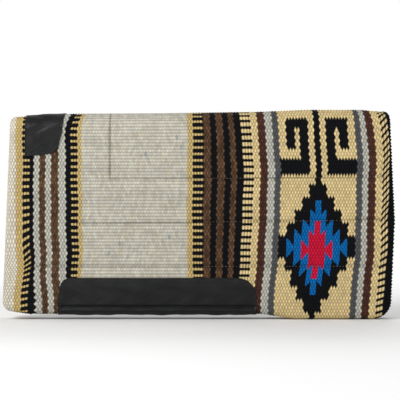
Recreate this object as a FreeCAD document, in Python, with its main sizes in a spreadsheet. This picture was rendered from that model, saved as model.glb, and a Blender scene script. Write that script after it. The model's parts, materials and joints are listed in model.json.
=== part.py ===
"""Western saddle pad: a wool blanket over a felt core and a fleece liner, with wear leathers.

The pad hangs folded over its spine. +X runs to the rear, +Y to the far side and +Z up, and the
origin is under the middle of the spine, where the fold rests on a back or a rail. Each sheet
is three solids, a ridge over the spine and a side on each flank, because the pad opens there.
Sizes are in millimetres.
"""
import FreeCAD, Part
import Sketcher
import math
import os

SIZES = {
    # outline of a folded side, seen square on
    "ridge_length": 852.0,
    "front_flare": 18.0,
    "rear_bulge": 10.0,
    "side_drop": 419.0,
    "rear_sag": 11.0,
    "sag_start": 566.0,
    "sag_run": 70.0,
    "front_corner": 28.0,
    "rear_corner": 38.0,
    "rolled_edge": 9.0,
    # layers, from the horse outwards
    "fold_radius": 8.0,
    "liner_thickness": 7.0,
    "core_thickness": 12.0,
    "blanket_thickness": 5.0,
    "leather_thickness": 2.0,
    "thread_height": 0.8,
    "thread_width": 1.2,
    # room that a side needs to swing under the ridge
    "swing_gap": 2.4,
    # wither leather, over the spine at the front
    "wither_setback": 32.0,
    "wither_length": 84.0,
    "wither_taper": 12.0,
    "wither_drop": 67.0,
    "wither_corner": 28.0,
    # wear leather, along the bottom edge and rolled under it
    "wear_setback": 106.0,
    "wear_length": 448.0,
    "wear_lean": 7.0,
    "wear_height": 70.0,
    "wear_front_corner": 24.0,
    "wear_rear_corner": 45.0,
    # seams
    "edge_margin": 4.0,
    "hem_margin": 2.0,
    "cross_seam_setback": 223.5,
    "upper_seam_drop": 115.4,
    "middle_seam_setback": 149.0,
    "middle_seam_drop": 214.0,
    "lower_seam_setback": 46.0,
    "lower_seam_clearance": 26.0,
    "seam_end_margin": 12.0,
}

# Places worked out from the sizes, as spreadsheet expressions.
FOLD = "(0 - Sizes.fold_radius)"
SIDE_TOP = f"({FOLD} - Sizes.swing_gap)"
BOTTOM = f"({FOLD} - Sizes.side_drop)"
ROLL = f"({BOTTOM} + Sizes.rolled_edge)"
FRONT = "(0 - Sizes.ridge_length / 2)"
REAR = "(Sizes.ridge_length / 2)"
LINER_FACE = "Sizes.fold_radius"
LINER_BACK = f"({LINER_FACE} + Sizes.liner_thickness)"
CORE_BACK = f"({LINER_BACK} + Sizes.core_thickness)"
BLANKET_FACE = f"({CORE_BACK} + Sizes.blanket_thickness)"
LEATHER_FACE = f"({BLANKET_FACE} + Sizes.leather_thickness)"
WITHER_FRONT = f"({FRONT} + Sizes.wither_setback)"
WITHER_BOTTOM = f"({FOLD} - Sizes.wither_drop)"
WEAR_FRONT = f"({FRONT} + Sizes.wear_setback)"
WEAR_TOP = f"({ROLL} + Sizes.wear_height)"
CROSS_SEAM = f"({FRONT} + Sizes.cross_seam_setback)"
THREAD = "Sizes.thread_height"
THREAD_WIDTH = "Sizes.thread_width"

doc = FreeCAD.newDocument("saddle_pad")
sheet = doc.addObject("Spreadsheet::Sheet", "Sizes")
for row, (alias, number) in enumerate(SIZES.items(), start=1):
    sheet.set(f"A{row}", alias)
    sheet.set(f"B{row}", str(number))
    sheet.setAlias(f"B{row}", alias)
doc.recompute()

pieces = []


# ---- helpers for sketches and features ----

def new_body(name):
    """A body that becomes one sub-part, labelled with the sub-part's name."""
    body = doc.addObject("PartDesign::Body", name)
    body.Label = name
    pieces.append(body)
    return body


def new_sketch(body, role, offset):
    """A sketch on one of the body's own origin planes, moved off it by an expression."""
    sketch = body.newObject("Sketcher::SketchObject", body.Name + "_sketch")
    plane = next(f for f in body.Origin.OriginFeatures if f.Role == role)
    sketch.AttachmentSupport = (plane, [""])
    sketch.MapMode = "FlatFace"
    sketch.setExpression("AttachmentOffset.Base.z", offset)
    return sketch


def rule(sketch, expression, *constraint):
    """Add a dimension to a sketch and bind it to an expression."""
    number = sketch.addConstraint(Sketcher.Constraint(*constraint))
    sketch.setExpression(f"Constraints[{number}]", expression)


def place_point(sketch, geometry, point, across, up):
    """Hold a point at two distances from the sketch's origin."""
    rule(sketch, across, "DistanceX", -1, 1, geometry, point, 1.0)
    rule(sketch, up, "DistanceY", -1, 1, geometry, point, 1.0)


def draw_polygon(sketch, corners):
    """Join corners, given as pairs of expressions, in order round the outline."""
    count = len(corners)
    turn = 2 * math.pi / count
    ring = [FreeCAD.Vector(math.cos(i * turn), math.sin(i * turn), 0) * 100 for i in range(count)]
    for i in range(count):
        sketch.addGeometry(Part.LineSegment(ring[i], ring[(i + 1) % count]))
    for i in range(count):
        sketch.addConstraint(Sketcher.Constraint("Coincident", i, 2, (i + 1) % count, 1))
    for i, (across, up) in enumerate(corners):
        place_point(sketch, i, 1, across, up)


def draw_half_ring(sketch, inner, outer):
    """The section of a layer over the spine, between two radii about the fold's centre."""
    centre = FreeCAD.Vector(0, -5, 0)
    normal = FreeCAD.Vector(0, 0, 1)
    big = Part.ArcOfCircle(Part.Circle(centre, normal, 40), 0, math.pi)
    small = Part.ArcOfCircle(Part.Circle(centre, normal, 20), 0, math.pi)
    sketch.addGeometry([big, small])
    sketch.addGeometry(Part.LineSegment(big.StartPoint, small.StartPoint))
    sketch.addGeometry(Part.LineSegment(small.EndPoint, big.EndPoint))
    sketch.addConstraint([
        Sketcher.Constraint("Coincident", 0, 3, 1, 3),
        Sketcher.Constraint("Coincident", 0, 1, 2, 1),
        Sketcher.Constraint("Coincident", 2, 2, 1, 1),
        Sketcher.Constraint("Coincident", 1, 2, 3, 1),
        Sketcher.Constraint("Coincident", 3, 2, 0, 2),
        Sketcher.Constraint("Horizontal", 2),
        Sketcher.Constraint("Horizontal", 3),
        Sketcher.Constraint("PointOnObject", 0, 3, 2),
        Sketcher.Constraint("PointOnObject", 0, 3, 3),
    ])
    place_point(sketch, 0, 3, "0", FOLD)
    rule(sketch, outer, "Radius", 0, 40.0)
    rule(sketch, inner, "Radius", 1, 20.0)


def draw_roll(sketch):
    """The section of leather that turns under the bottom edge and runs in to the liner."""
    centre = FreeCAD.Vector(-20, -400, 0)
    normal = FreeCAD.Vector(0, 0, 1)
    end_out = FreeCAD.Vector(-5, -412, 0)
    end_in = FreeCAD.Vector(-5, -410, 0)
    outer = Part.ArcOfCircle(Part.Circle(centre, normal, 12), math.pi, 1.5 * math.pi)
    inner = Part.ArcOfCircle(Part.Circle(centre, normal, 10), math.pi, 1.5 * math.pi)
    sketch.addGeometry([outer, inner])
    sketch.addGeometry(Part.LineSegment(outer.EndPoint, end_out))
    sketch.addGeometry(Part.LineSegment(end_out, end_in))
    sketch.addGeometry(Part.LineSegment(end_in, inner.EndPoint))
    sketch.addGeometry(Part.LineSegment(inner.StartPoint, outer.StartPoint))
    sketch.addConstraint([
        Sketcher.Constraint("Coincident", 0, 3, 1, 3),
        Sketcher.Constraint("Coincident", 0, 2, 2, 1),
        Sketcher.Constraint("Coincident", 2, 2, 3, 1),
        Sketcher.Constraint("Coincident", 3, 2, 4, 1),
        Sketcher.Constraint("Coincident", 4, 2, 1, 2),
        Sketcher.Constraint("Coincident", 1, 1, 5, 1),
        Sketcher.Constraint("Coincident", 5, 2, 0, 1),
        Sketcher.Constraint("Vertical", 0, 3, 0, 2),
        Sketcher.Constraint("Vertical", 0, 3, 1, 2),
        Sketcher.Constraint("Horizontal", 0, 3, 0, 1),
        Sketcher.Constraint("Horizontal", 0, 3, 1, 1),
        Sketcher.Constraint("Horizontal", 2),
        Sketcher.Constraint("Vertical", 3),
        Sketcher.Constraint("Horizontal", 4),
    ])
    place_point(sketch, 0, 3, f"0 - {BLANKET_FACE} + Sizes.rolled_edge", ROLL)
    rule(sketch, "Sizes.rolled_edge + Sizes.leather_thickness", "Radius", 0, 12.0)
    rule(sketch, "Sizes.rolled_edge", "Radius", 1, 10.0)
    rule(sketch, f"0 - {LINER_FACE}", "DistanceX", -1, 1, 3, 1, -5.0)


def add_pad(body, sketch, length):
    """Extrude a sketch along its normal."""
    pad = body.newObject("PartDesign::Pad", body.Name + "_pad")
    pad.Profile = sketch
    pad.setExpression("Length", length)
    sketch.Visibility = False
    doc.recompute()
    return pad


def side_plate(body, corners, start, thickness):
    """A flat layer of the near side: its outline pulled outwards from a distance off the middle."""
    sketch = new_sketch(body, "XZ_Plane", start)
    draw_polygon(sketch, corners)
    return add_pad(body, sketch, thickness)


def ridge_ring(body, inner, outer, start, length):
    """A half ring over the spine, between two radii, from a place along the spine."""
    sketch = new_sketch(body, "YZ_Plane", start)
    draw_half_ring(sketch, inner, outer)
    return add_pad(body, sketch, length)


def round_edges(body, names, radius):
    """Fillet the named edges of the body's newest feature."""
    newest = body.Tip
    fillet = body.newObject("PartDesign::Fillet", body.Name + "_fillet")
    fillet.Base = (newest, names)
    fillet.setExpression("Radius", radius)
    doc.recompute()


def corner_edge(shape, x_weight, z_weight, rank=0):
    """Name the edge through the thickness that lies furthest in a direction of the outline."""
    found = []
    for number, edge in enumerate(shape.Edges, start=1):
        box = edge.BoundBox
        if box.YLength > 0.1 and box.XLength < 0.01 and box.ZLength < 0.01:
            found.append((x_weight * box.XMin + z_weight * box.ZMin, f"Edge{number}"))
    return sorted(found, reverse=True)[rank][1]


def round_corner(body, x_weight, z_weight, radius, rank=0):
    """Round one corner of a plate's outline."""
    name = corner_edge(body.Tip.Shape, x_weight, z_weight, rank)
    round_edges(body, [name], radius)


def strip(outer, inner):
    """The outline of a band open at both ends: out along one run of corners, back along another."""
    return outer + inner[::-1]


# ---- outlines ----

def side_outline(inset):
    """A folded side, from the top of its front edge round to the top of its rear edge."""
    low = f"{BOTTOM} + {inset}"
    sagged = f"{BOTTOM} - Sizes.rear_sag + {inset}"
    rear = f"{REAR} - {inset}"
    return [
        (f"{FRONT} + {inset}", SIDE_TOP),
        (f"{FRONT} - Sizes.front_flare + {inset}", low),
        (f"{FRONT} + Sizes.sag_start", low),
        (f"{FRONT} + Sizes.sag_start + Sizes.sag_run", sagged),
        (rear, sagged),
        (f"{rear} + Sizes.rear_bulge", f"{FOLD} - Sizes.side_drop / 2"),
        (rear, SIDE_TOP),
    ]


def wither_outline(inset):
    """The wither leather's side, open at the top, where it goes over the spine."""
    low = f"{WITHER_BOTTOM} + {inset}"
    rear = f"{WITHER_FRONT} + Sizes.wither_length - {inset}"
    return [
        (f"{WITHER_FRONT} + {inset}", SIDE_TOP),
        (f"{WITHER_FRONT} + {inset}", low),
        (f"{rear} - Sizes.wither_taper", low),
        (rear, SIDE_TOP),
    ]


def wear_outline(inset):
    """The wear leather, open at the bottom, where it rolls under the edge."""
    high = f"{WEAR_TOP} - {inset}"
    rear = f"{WEAR_FRONT} + Sizes.wear_length - {inset}"
    return [
        (rear, ROLL),
        (rear, high),
        (f"{WEAR_FRONT} + Sizes.wear_lean + {inset}", high),
        (f"{WEAR_FRONT} + {inset}", ROLL),
    ]


def round_side(body, inset):
    """Round the two bottom corners of a side's outline."""
    round_corner(body, -1, -1, f"Sizes.front_corner - {inset}")
    round_corner(body, 1, -1, f"Sizes.rear_corner - {inset}")


# ---- near side ----

def make_blanket_side():
    """The woven top, turned over the core and liner at the front, bottom and rear edges."""
    body = new_body("near_blanket")
    rim = strip(side_outline("0"), side_outline("Sizes.blanket_thickness"))
    side_plate(body, side_outline("0"), CORE_BACK, "Sizes.blanket_thickness")
    side_plate(body, rim, LINER_FACE, "Sizes.liner_thickness + Sizes.core_thickness")
    inside = "Sizes.blanket_thickness"
    round_corner(body, -1, -1, f"Sizes.front_corner - {inside}", rank=1)
    round_corner(body, 1, -1, f"Sizes.rear_corner - {inside}", rank=1)
    round_side(body, "0")
    face = min(v.Y for v in body.Tip.Shape.Vertexes)
    top = max(v.Z for v in body.Tip.Shape.Vertexes)
    rolled = []
    for number, edge in enumerate(body.Tip.Shape.Edges, start=1):
        box = edge.BoundBox
        if abs(box.YMin - face) < 0.01 and box.YLength < 0.01 and box.ZMin < top - 0.1:
            rolled.append(f"Edge{number}")
    round_edges(body, rolled, "Sizes.rolled_edge")


def make_filling_side(name, start, thickness):
    """A layer that fills the blanket's turned edge, so it has the blanket's inner outline."""
    body = new_body(name)
    side_plate(body, side_outline("Sizes.blanket_thickness"), start, thickness)
    round_side(body, "Sizes.blanket_thickness")


def make_wither_side():
    """One cheek of the wither leather."""
    body = new_body("near_wither_leather")
    side_plate(body, wither_outline("0"), BLANKET_FACE, "Sizes.leather_thickness")
    round_corner(body, 1, -1, "Sizes.wither_corner")


def make_wear_leather():
    """The long leather along the bottom edge, with the lip that rolls under it."""
    body = new_body("near_wear_leather")
    side_plate(body, wear_outline("0"), BLANKET_FACE, "Sizes.leather_thickness")
    roll = new_sketch(body, "YZ_Plane", WEAR_FRONT)
    draw_roll(roll)
    add_pad(body, roll, "Sizes.wear_length")
    round_corner(body, -1, 1, "Sizes.wear_front_corner")
    round_corner(body, 1, 1, "Sizes.wear_rear_corner")


def make_edge_stitching(name, outline, start, margin, corners):
    """A line of thread that follows an outline at a margin, with its corners rounded alike."""
    body = new_body(name)
    outer = outline(margin)
    inner = outline(f"({margin} + {THREAD_WIDTH})")
    side_plate(body, strip(outer, inner), start, THREAD)
    for x_weight, z_weight, radius in corners:
        inside = f"{radius} - {margin} - {THREAD_WIDTH}"
        round_corner(body, x_weight, z_weight, inside, rank=1)
        round_corner(body, x_weight, z_weight, f"{radius} - {margin}")


def make_straight_seam(name, x_start, x_length, z_start, z_length):
    """A straight line of quilting thread on the blanket's face."""
    seam = doc.addObject("Part::Box", name)
    seam.Label = name
    seam.setExpression("Length", x_length)
    seam.setExpression("Width", THREAD)
    seam.setExpression("Height", z_length)
    seam.setExpression("Placement.Base.x", x_start)
    seam.setExpression("Placement.Base.y", f"0 - {BLANKET_FACE} - {THREAD}")
    seam.setExpression("Placement.Base.z", z_start)
    pieces.append(seam)


make_blanket_side()
make_filling_side("near_core", LINER_BACK, "Sizes.core_thickness")
make_filling_side("near_liner", LINER_FACE, "Sizes.liner_thickness")
make_wither_side()
make_wear_leather()
make_edge_stitching(
    "near_wither_stitching", wither_outline, LEATHER_FACE, "Sizes.edge_margin",
    [(1, -1, "Sizes.wither_corner")],
)
make_edge_stitching(
    "near_wear_stitching", wear_outline, LEATHER_FACE, "Sizes.edge_margin",
    [(-1, 1, "Sizes.wear_front_corner"), (1, 1, "Sizes.wear_rear_corner")],
)
make_edge_stitching(
    "near_hem_stitching", side_outline, f"{LINER_FACE} - {THREAD}", "Sizes.hem_margin",
    [(-1, -1, "Sizes.front_corner"), (1, -1, "Sizes.rear_corner")],
)
make_straight_seam(
    "near_cross_seam", CROSS_SEAM, THREAD_WIDTH,
    f"{FOLD} - Sizes.upper_seam_drop",
    "Sizes.upper_seam_drop - Sizes.swing_gap",
)
for height, setback, place in (
    ("upper", "Sizes.cross_seam_setback", f"{FOLD} - Sizes.upper_seam_drop - {THREAD_WIDTH}"),
    ("middle", "Sizes.middle_seam_setback", f"{FOLD} - Sizes.middle_seam_drop"),
    ("lower", "Sizes.lower_seam_setback", f"{WEAR_TOP} + Sizes.lower_seam_clearance"),
):
    make_straight_seam(
        f"near_{height}_quilting", f"{FRONT} + {setback}",
        f"Sizes.ridge_length - {setback} - Sizes.seam_end_margin", place, THREAD_WIDTH,
    )

# ---- far side, the near side's mirror image ----

for near in list(pieces):
    far = doc.addObject("Part::Mirroring", near.Label.replace("near_", "far_"))
    far.Label = far.Name
    far.Source = near
    far.Normal = (0, 1, 0)
    pieces.append(far)

# ---- ridge ----

body = new_body("ridge_blanket")
turned = "Sizes.blanket_thickness"
ridge_ring(body, CORE_BACK, BLANKET_FACE, FRONT, "Sizes.ridge_length")
ridge_ring(body, LINER_FACE, CORE_BACK, FRONT, turned)
ridge_ring(body, LINER_FACE, CORE_BACK, f"{REAR} - {turned}", turned)
ends = [
    f"Edge{number}"
    for number, edge in enumerate(body.Tip.Shape.Edges, start=1)
    if edge.BoundBox.XLength < 0.01 and edge.BoundBox.ZMax > body.Tip.Shape.BoundBox.ZMax - 0.01
]
round_edges(body, ends, "Sizes.rolled_edge")

for name, inner, outer in (
    ("ridge_core", LINER_BACK, CORE_BACK),
    ("ridge_liner", LINER_FACE, LINER_BACK),
):
    body = new_body(name)
    ridge_ring(body, inner, outer, f"{FRONT} + {turned}", f"Sizes.ridge_length - 2 * {turned}")

body = new_body("ridge_wither_leather")
ridge_ring(body, BLANKET_FACE, LEATHER_FACE, WITHER_FRONT, "Sizes.wither_length")

body = new_body("ridge_wither_stitching")
crown = f"{LEATHER_FACE} + {THREAD}"
front_row = f"{WITHER_FRONT} + Sizes.edge_margin"
rear_row = f"{WITHER_FRONT} + Sizes.wither_length - Sizes.edge_margin - {THREAD_WIDTH}"
ridge_ring(body, LEATHER_FACE, crown, front_row, THREAD_WIDTH)
ridge_ring(body, LEATHER_FACE, crown, rear_row, THREAD_WIDTH)

body = new_body("ridge_cross_seam")
ridge_ring(body, BLANKET_FACE, f"{BLANKET_FACE} + {THREAD}", CROSS_SEAM, THREAD_WIDTH)

# ---- check and write ----

doc.recompute()
for item in doc.Objects:
    if "Invalid" in item.State or "Error" in item.State:
        raise RuntimeError(f"{item.Label} could not be built: {item.State}")
for piece in pieces:
    if piece.Shape.isNull() or not piece.Shape.isValid():
        raise RuntimeError(f"{piece.Label} is not a valid solid")
os.makedirs("parts", exist_ok=True)
for piece in pieces:
    piece.Shape.exportStep(f"parts/{piece.Label}.step")
    volume = piece.Shape.Volume / 1000
    print(f"{piece.Label}: {len(piece.Shape.Solids)} solid(s), {volume:.1f} cm3")
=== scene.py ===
# %% [markdown]
# # A western saddle pad, folded along its spine
# The real pad is a sandwich. A heavy weft-faced wool blanket lies on top, a felt core gives the
# thickness, and a fleece liner lies against the horse. Two black wear leathers are sewn on, one
# over the withers and one along each bottom edge. The CAD frame gives every size and both folds,
# and this lesson only gives the pieces their looks.

# %% Load the frame
import json
import math

import bpy
import numpy as np
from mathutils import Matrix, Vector

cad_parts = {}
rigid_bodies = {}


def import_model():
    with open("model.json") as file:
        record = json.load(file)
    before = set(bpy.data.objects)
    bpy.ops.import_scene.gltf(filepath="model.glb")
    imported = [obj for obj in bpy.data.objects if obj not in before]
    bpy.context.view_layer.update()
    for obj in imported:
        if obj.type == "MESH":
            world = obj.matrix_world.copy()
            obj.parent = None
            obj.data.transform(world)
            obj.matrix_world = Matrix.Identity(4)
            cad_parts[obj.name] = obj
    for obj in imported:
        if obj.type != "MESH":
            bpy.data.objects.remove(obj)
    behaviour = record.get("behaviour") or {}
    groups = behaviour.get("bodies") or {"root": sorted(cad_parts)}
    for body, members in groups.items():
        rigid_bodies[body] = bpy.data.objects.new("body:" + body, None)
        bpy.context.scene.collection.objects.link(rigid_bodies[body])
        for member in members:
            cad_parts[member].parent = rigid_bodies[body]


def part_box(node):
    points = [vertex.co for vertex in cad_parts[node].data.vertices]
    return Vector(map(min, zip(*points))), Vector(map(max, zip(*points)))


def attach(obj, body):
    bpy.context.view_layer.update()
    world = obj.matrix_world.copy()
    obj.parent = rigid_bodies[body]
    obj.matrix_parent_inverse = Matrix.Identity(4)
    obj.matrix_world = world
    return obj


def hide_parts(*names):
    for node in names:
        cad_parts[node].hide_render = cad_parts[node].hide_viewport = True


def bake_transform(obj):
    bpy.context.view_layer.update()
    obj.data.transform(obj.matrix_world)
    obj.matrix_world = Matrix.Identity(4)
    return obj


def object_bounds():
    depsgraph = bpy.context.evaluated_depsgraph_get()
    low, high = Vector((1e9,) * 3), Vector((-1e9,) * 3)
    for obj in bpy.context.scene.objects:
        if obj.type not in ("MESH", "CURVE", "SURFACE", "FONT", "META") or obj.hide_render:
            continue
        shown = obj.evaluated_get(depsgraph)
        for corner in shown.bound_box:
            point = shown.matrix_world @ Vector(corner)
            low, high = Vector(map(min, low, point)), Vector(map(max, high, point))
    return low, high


for leftover in list(bpy.data.objects):
    bpy.data.objects.remove(leftover)
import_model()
cad_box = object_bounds()
print("CAD box", [tuple(round(c, 4) for c in corner) for corner in cad_box])

# %% [markdown]
# ## The pad laid out flat
# Every layer is one sheet bent over the spine, so it is simplest to draw each piece on a flat
# plan and to bend the plan afterwards. A place on the plan is `x`, along the spine, and `t`, the
# way down a side: `t` is 0 where the straight side begins and negative round the fold.
# A third number, `r`, says how far out a point lies from the middle of the fold.

# %% Sizes read from the frame
ridge_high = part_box("ridge_blanket")[1]
side_low, side_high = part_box("near_blanket")
OUTER = ridge_high.y
INNER = -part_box("near_liner")[1].y
FOLD_Z = ridge_high.z - OUTER
FOLD_LENGTH = OUTER * math.pi / 2
RIDGE_HALF = ridge_high.x
FRONT_FLARE = -side_low.x - RIDGE_HALF
REAR_BULGE = side_high.x - RIDGE_HALF
REAR_DROP = FOLD_Z - side_low.z
REAR_SAG = 0.011
SIDE_DROP = REAR_DROP - REAR_SAG
SAG_FROM, SAG_TO = 0.140, 0.210
FRONT_CORNER, REAR_CORNER = 0.019, 0.038
ROLL = (OUTER - INNER) / 2
MIDDLE = (OUTER + INNER) / 2
BLANKET_THICKNESS = 0.005
LEATHER_THICKNESS = 0.002
print("fold at z", round(FOLD_Z, 4), "outer", round(OUTER, 4), "inner", round(INNER, 4),
      "drop", round(SIDE_DROP, 4))

# %% Edges on the plan
FRONT_RISE, RISE_FROM = 0.008, -0.388
PAD_EDGE = [(-RIDGE_HALF, -FOLD_LENGTH), (-RIDGE_HALF, 0),
            (-RIDGE_HALF - FRONT_FLARE, SIDE_DROP - FRONT_RISE), (RISE_FROM, SIDE_DROP),
            (SAG_FROM, SIDE_DROP), (SAG_TO, REAR_DROP), (RIDGE_HALF, REAR_DROP),
            (RIDGE_HALF + REAR_BULGE, SIDE_DROP / 2), (RIDGE_HALF, 0), (RIDGE_HALF, -FOLD_LENGTH)]
PAD_CORNERS = {2: FRONT_CORNER, 6: REAR_CORNER}


def edge_line(corners, rounded, inset, step=0.003):
    """Evenly spaced points along an edge on the plan, moved inwards, with corners rounded."""
    points = np.array(corners, float)
    run = np.diff(points, axis=0)
    run /= np.linalg.norm(run, axis=1)[:, None]
    out = np.stack([-run[:, 1], run[:, 0]], 1)
    moved = points.copy()
    moved[0] -= inset * out[0]
    moved[-1] -= inset * out[-1]
    path = [moved[0]]
    for k in range(1, len(points) - 1):
        before, after = out[k - 1], out[k]
        moved[k] -= inset * (before + after) / (1 + before @ after)
        radius = rounded.get(k, 0) - inset
        if radius <= 0:
            path.append(moved[k])
            continue
        turn = math.acos(np.clip(before @ after, -1, 1))
        centre = moved[k] - run[k - 1] * radius * math.tan(turn / 2) - before * radius
        for share in np.linspace(0, 1, 13):
            way = before * math.sin((1 - share) * turn) + after * math.sin(share * turn)
            path.append(centre + radius * way / math.sin(turn))
    path.append(moved[-1])
    path = np.array(path)
    along = np.r_[0, np.cumsum(np.linalg.norm(np.diff(path, axis=0), axis=1))]
    even = np.linspace(0, along[-1], max(3, int(along[-1] / step)))
    return np.stack([np.interp(even, along, path[:, k]) for k in (0, 1)], 1)


def past_edge(line, points):
    """How far each point lies past an edge (negative inside), its nearest edge point, the way out."""
    start, run = line[:-1], np.diff(line, axis=0)
    size = np.linalg.norm(run, axis=1)
    out = np.stack([-run[:, 1], run[:, 0]], 1) / size[:, None]
    far, near, way = np.empty(len(points)), np.empty((len(points), 2)), np.empty((len(points), 2))
    for at in range(0, len(points), 800):
        query = points[at:at + 800, None]
        share = np.clip(((query - start) * run).sum(2) / size ** 2, 0, 1)
        closest = start + share[..., None] * run
        gap = query - closest
        length = np.linalg.norm(gap, axis=2)
        best = length.argmin(1)
        pick = np.arange(len(best)), best
        sign = np.where((gap[pick] * out[best]).sum(1) >= 0, 1.0, -1.0)
        far[at:at + 800] = length[pick] * sign
        near[at:at + 800] = closest[pick]
        safe = np.maximum(length[pick], 1e-9)[:, None]
        way[at:at + 800] = np.where(safe > 1e-6, gap[pick] / safe * sign[:, None], out[best])
    return far, near, way


WOOL_PROUD = 0.003
roll_line = edge_line(PAD_EDGE, PAD_CORNERS, ROLL - WOOL_PROUD)
print("rolled edge starts on a line of", len(roll_line), "points")

# %% [markdown]
# ## How the pad swells and sags
# Quilting seams pull the layers together, and the wool swells between them. One function gives
# that swelling for every layer, so the blanket, the leathers, the core and the liner stay nested.
# The spine of a used pad isn't straight either: it dips at the withers and rises over the loin.

# %% Seams, swelling and the line of the spine
CROSS_SEAM_X, SEAM_END = -0.2025, 0.414
UPPER_T, MIDDLE_T, LOWER_T = 0.1154, 0.2140, 0.3145
UPPER_TILT, MIDDLE_TILT = 0.0025, 0.0045
MIDDLE_FROM, LOWER_FROM = -0.277, -0.380
SEAMS = {"cross_seam": [(CROSS_SEAM_X, -FOLD_LENGTH), (CROSS_SEAM_X, UPPER_T + UPPER_TILT)],
         "upper_quilting": [(CROSS_SEAM_X, UPPER_T + UPPER_TILT), (SEAM_END, UPPER_T - UPPER_TILT)],
         "middle_quilting": [(MIDDLE_FROM, MIDDLE_T + MIDDLE_TILT), (SEAM_END, MIDDLE_T - MIDDLE_TILT)],
         "lower_quilting": [(LOWER_FROM, LOWER_T), (SEAM_END, LOWER_T)]}
CREASE_T = FOLD_Z + 0.4135
CREASE_FROM, CREASE_TO = -0.312, 0.122
LEATHER_CREASE = [(CREASE_FROM, CREASE_T), (CREASE_TO, CREASE_T)]
SEAM_DENT, SEAM_WIDTH = 0.0032, 0.0032
SWELL, SWELL_REACH = 0.0032, 0.045
LONG_WAVE, SHORT_WAVE = 0.0006, 0.0005
SPINE = {-0.426: -0.009, -0.373: -0.0056, -0.300: -0.0011, -0.090: 0.0, 0.130: 0.0034,
         0.240: 0.0079, 0.365: 0.0079, 0.426: 0.002}


def smooth(value):
    share = np.clip(value, 0, 1)
    return share * share * (3 - 2 * share)


def from_run(x, t, ends):
    """Distance on the plan from a straight run between two ends."""
    (x0, t0), (x1, t1) = ends
    dx, dt = x1 - x0, t1 - t0
    share = np.clip(((x - x0) * dx + (t - t0) * dt) / (dx * dx + dt * dt), 0, 1)
    return np.hypot(x - x0 - share * dx, t - t0 - share * dt)


def swelling(x, t):
    """How far the outer face stands out of its plain place; the inner face does the opposite."""
    nearest = np.min([from_run(x, t, ends) for ends in (*SEAMS.values(), LEATHER_CREASE)], axis=0)
    waves = LONG_WAVE * np.sin(x * 31 + 2.1 * np.sin(t * 17))
    waves = waves + SHORT_WAVE * np.sin(t * 43 + x * 11)
    puff = SWELL * (1 - np.exp(-(nearest / SWELL_REACH) ** 2)) + waves
    return (puff - SEAM_DENT * np.exp(-(nearest / SEAM_WIDTH) ** 2)) * smooth((t + 0.03) / 0.05)


def bend(x, t, r, side):
    """A place on the plan, bent over the spine. side is -1 for the near side and 1 for the far."""
    share = (r - MIDDLE) / ROLL
    out = r + swelling(x, t) * share
    angle = np.clip(-t / OUTER, 0, math.pi / 2)
    rise = np.interp(x, list(SPINE), list(SPINE.values())) * np.clip((r - INNER) / ROLL / 2, 0, 1)
    z = FOLD_Z + out * np.sin(angle) - np.maximum(t, 0)
    z = z + rise * smooth((0.06 - t) / 0.11)
    return np.stack([x, side * out * np.cos(angle), z], 1)


EDGE_ZONE = 0.03


def on_blanket(x, t, lift, side):
    """A place on the blanket's outer face, carried round the rolled edge where the plan ends."""
    x, t = np.array(x, float), np.array(t, float)
    lift = np.broadcast_to(lift, x.shape).astype(float)
    r = OUTER + lift
    close = np.flatnonzero((np.abs(x) > RIDGE_HALF - EDGE_ZONE) | (t > SIDE_DROP - EDGE_ZONE))
    if len(close):
        far, near, way = past_edge(roll_line, np.stack([x[close], t[close]], 1))
        over = far > 0
        turned = close[over]
        angle = far[over] / ROLL
        reach = (ROLL + lift[turned]) * np.sin(angle)
        x[turned] = near[over, 0] + way[over, 0] * reach
        t[turned] = near[over, 1] + way[over, 1] * reach
        r[turned] = MIDDLE + (ROLL + lift[turned]) * np.cos(angle)
    t = np.maximum(t, -FOLD_LENGTH)
    return bend(x, t, r, side)


print("apex at the loin", bend(np.array([0.3]), np.array([-FOLD_LENGTH]), np.array([OUTER]), -1))

# %% [markdown]
# ## A sheet cut on the plan
# A cut piece is a fine grid with everything past its cut edge trimmed away. Grid points just past
# the edge are pulled back onto it, so the cut is smooth. A slab adds rings round the cut for the
# thickness, and a back face.

# %% Faces inside a cut


def trimmed(far, columns, rows, reach=0.0):
    """Faces of a grid that start inside the edge; points past it are pulled back to it."""
    inside = (far < reach).reshape(columns, rows)
    keep = inside[:-1, :-1] | inside[1:, :-1] | inside[:-1, 1:] | inside[1:, 1:]
    index = np.arange(columns * rows).reshape(columns, rows)
    quads = np.stack([index[:-1, :-1], index[:-1, 1:], index[1:, 1:], index[1:, :-1]], -1)
    return quads[keep]


def rim_edges(faces):
    """Directed edges that only one face uses, in that face's own order."""
    corners = faces.shape[1]
    edges = np.concatenate([faces[:, [k, (k + 1) % corners]] for k in range(corners)])
    key = np.sort(edges, 1)
    _, first, count = np.unique(key, axis=0, return_index=True, return_counts=True)
    return edges[first[count == 1]]


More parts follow.
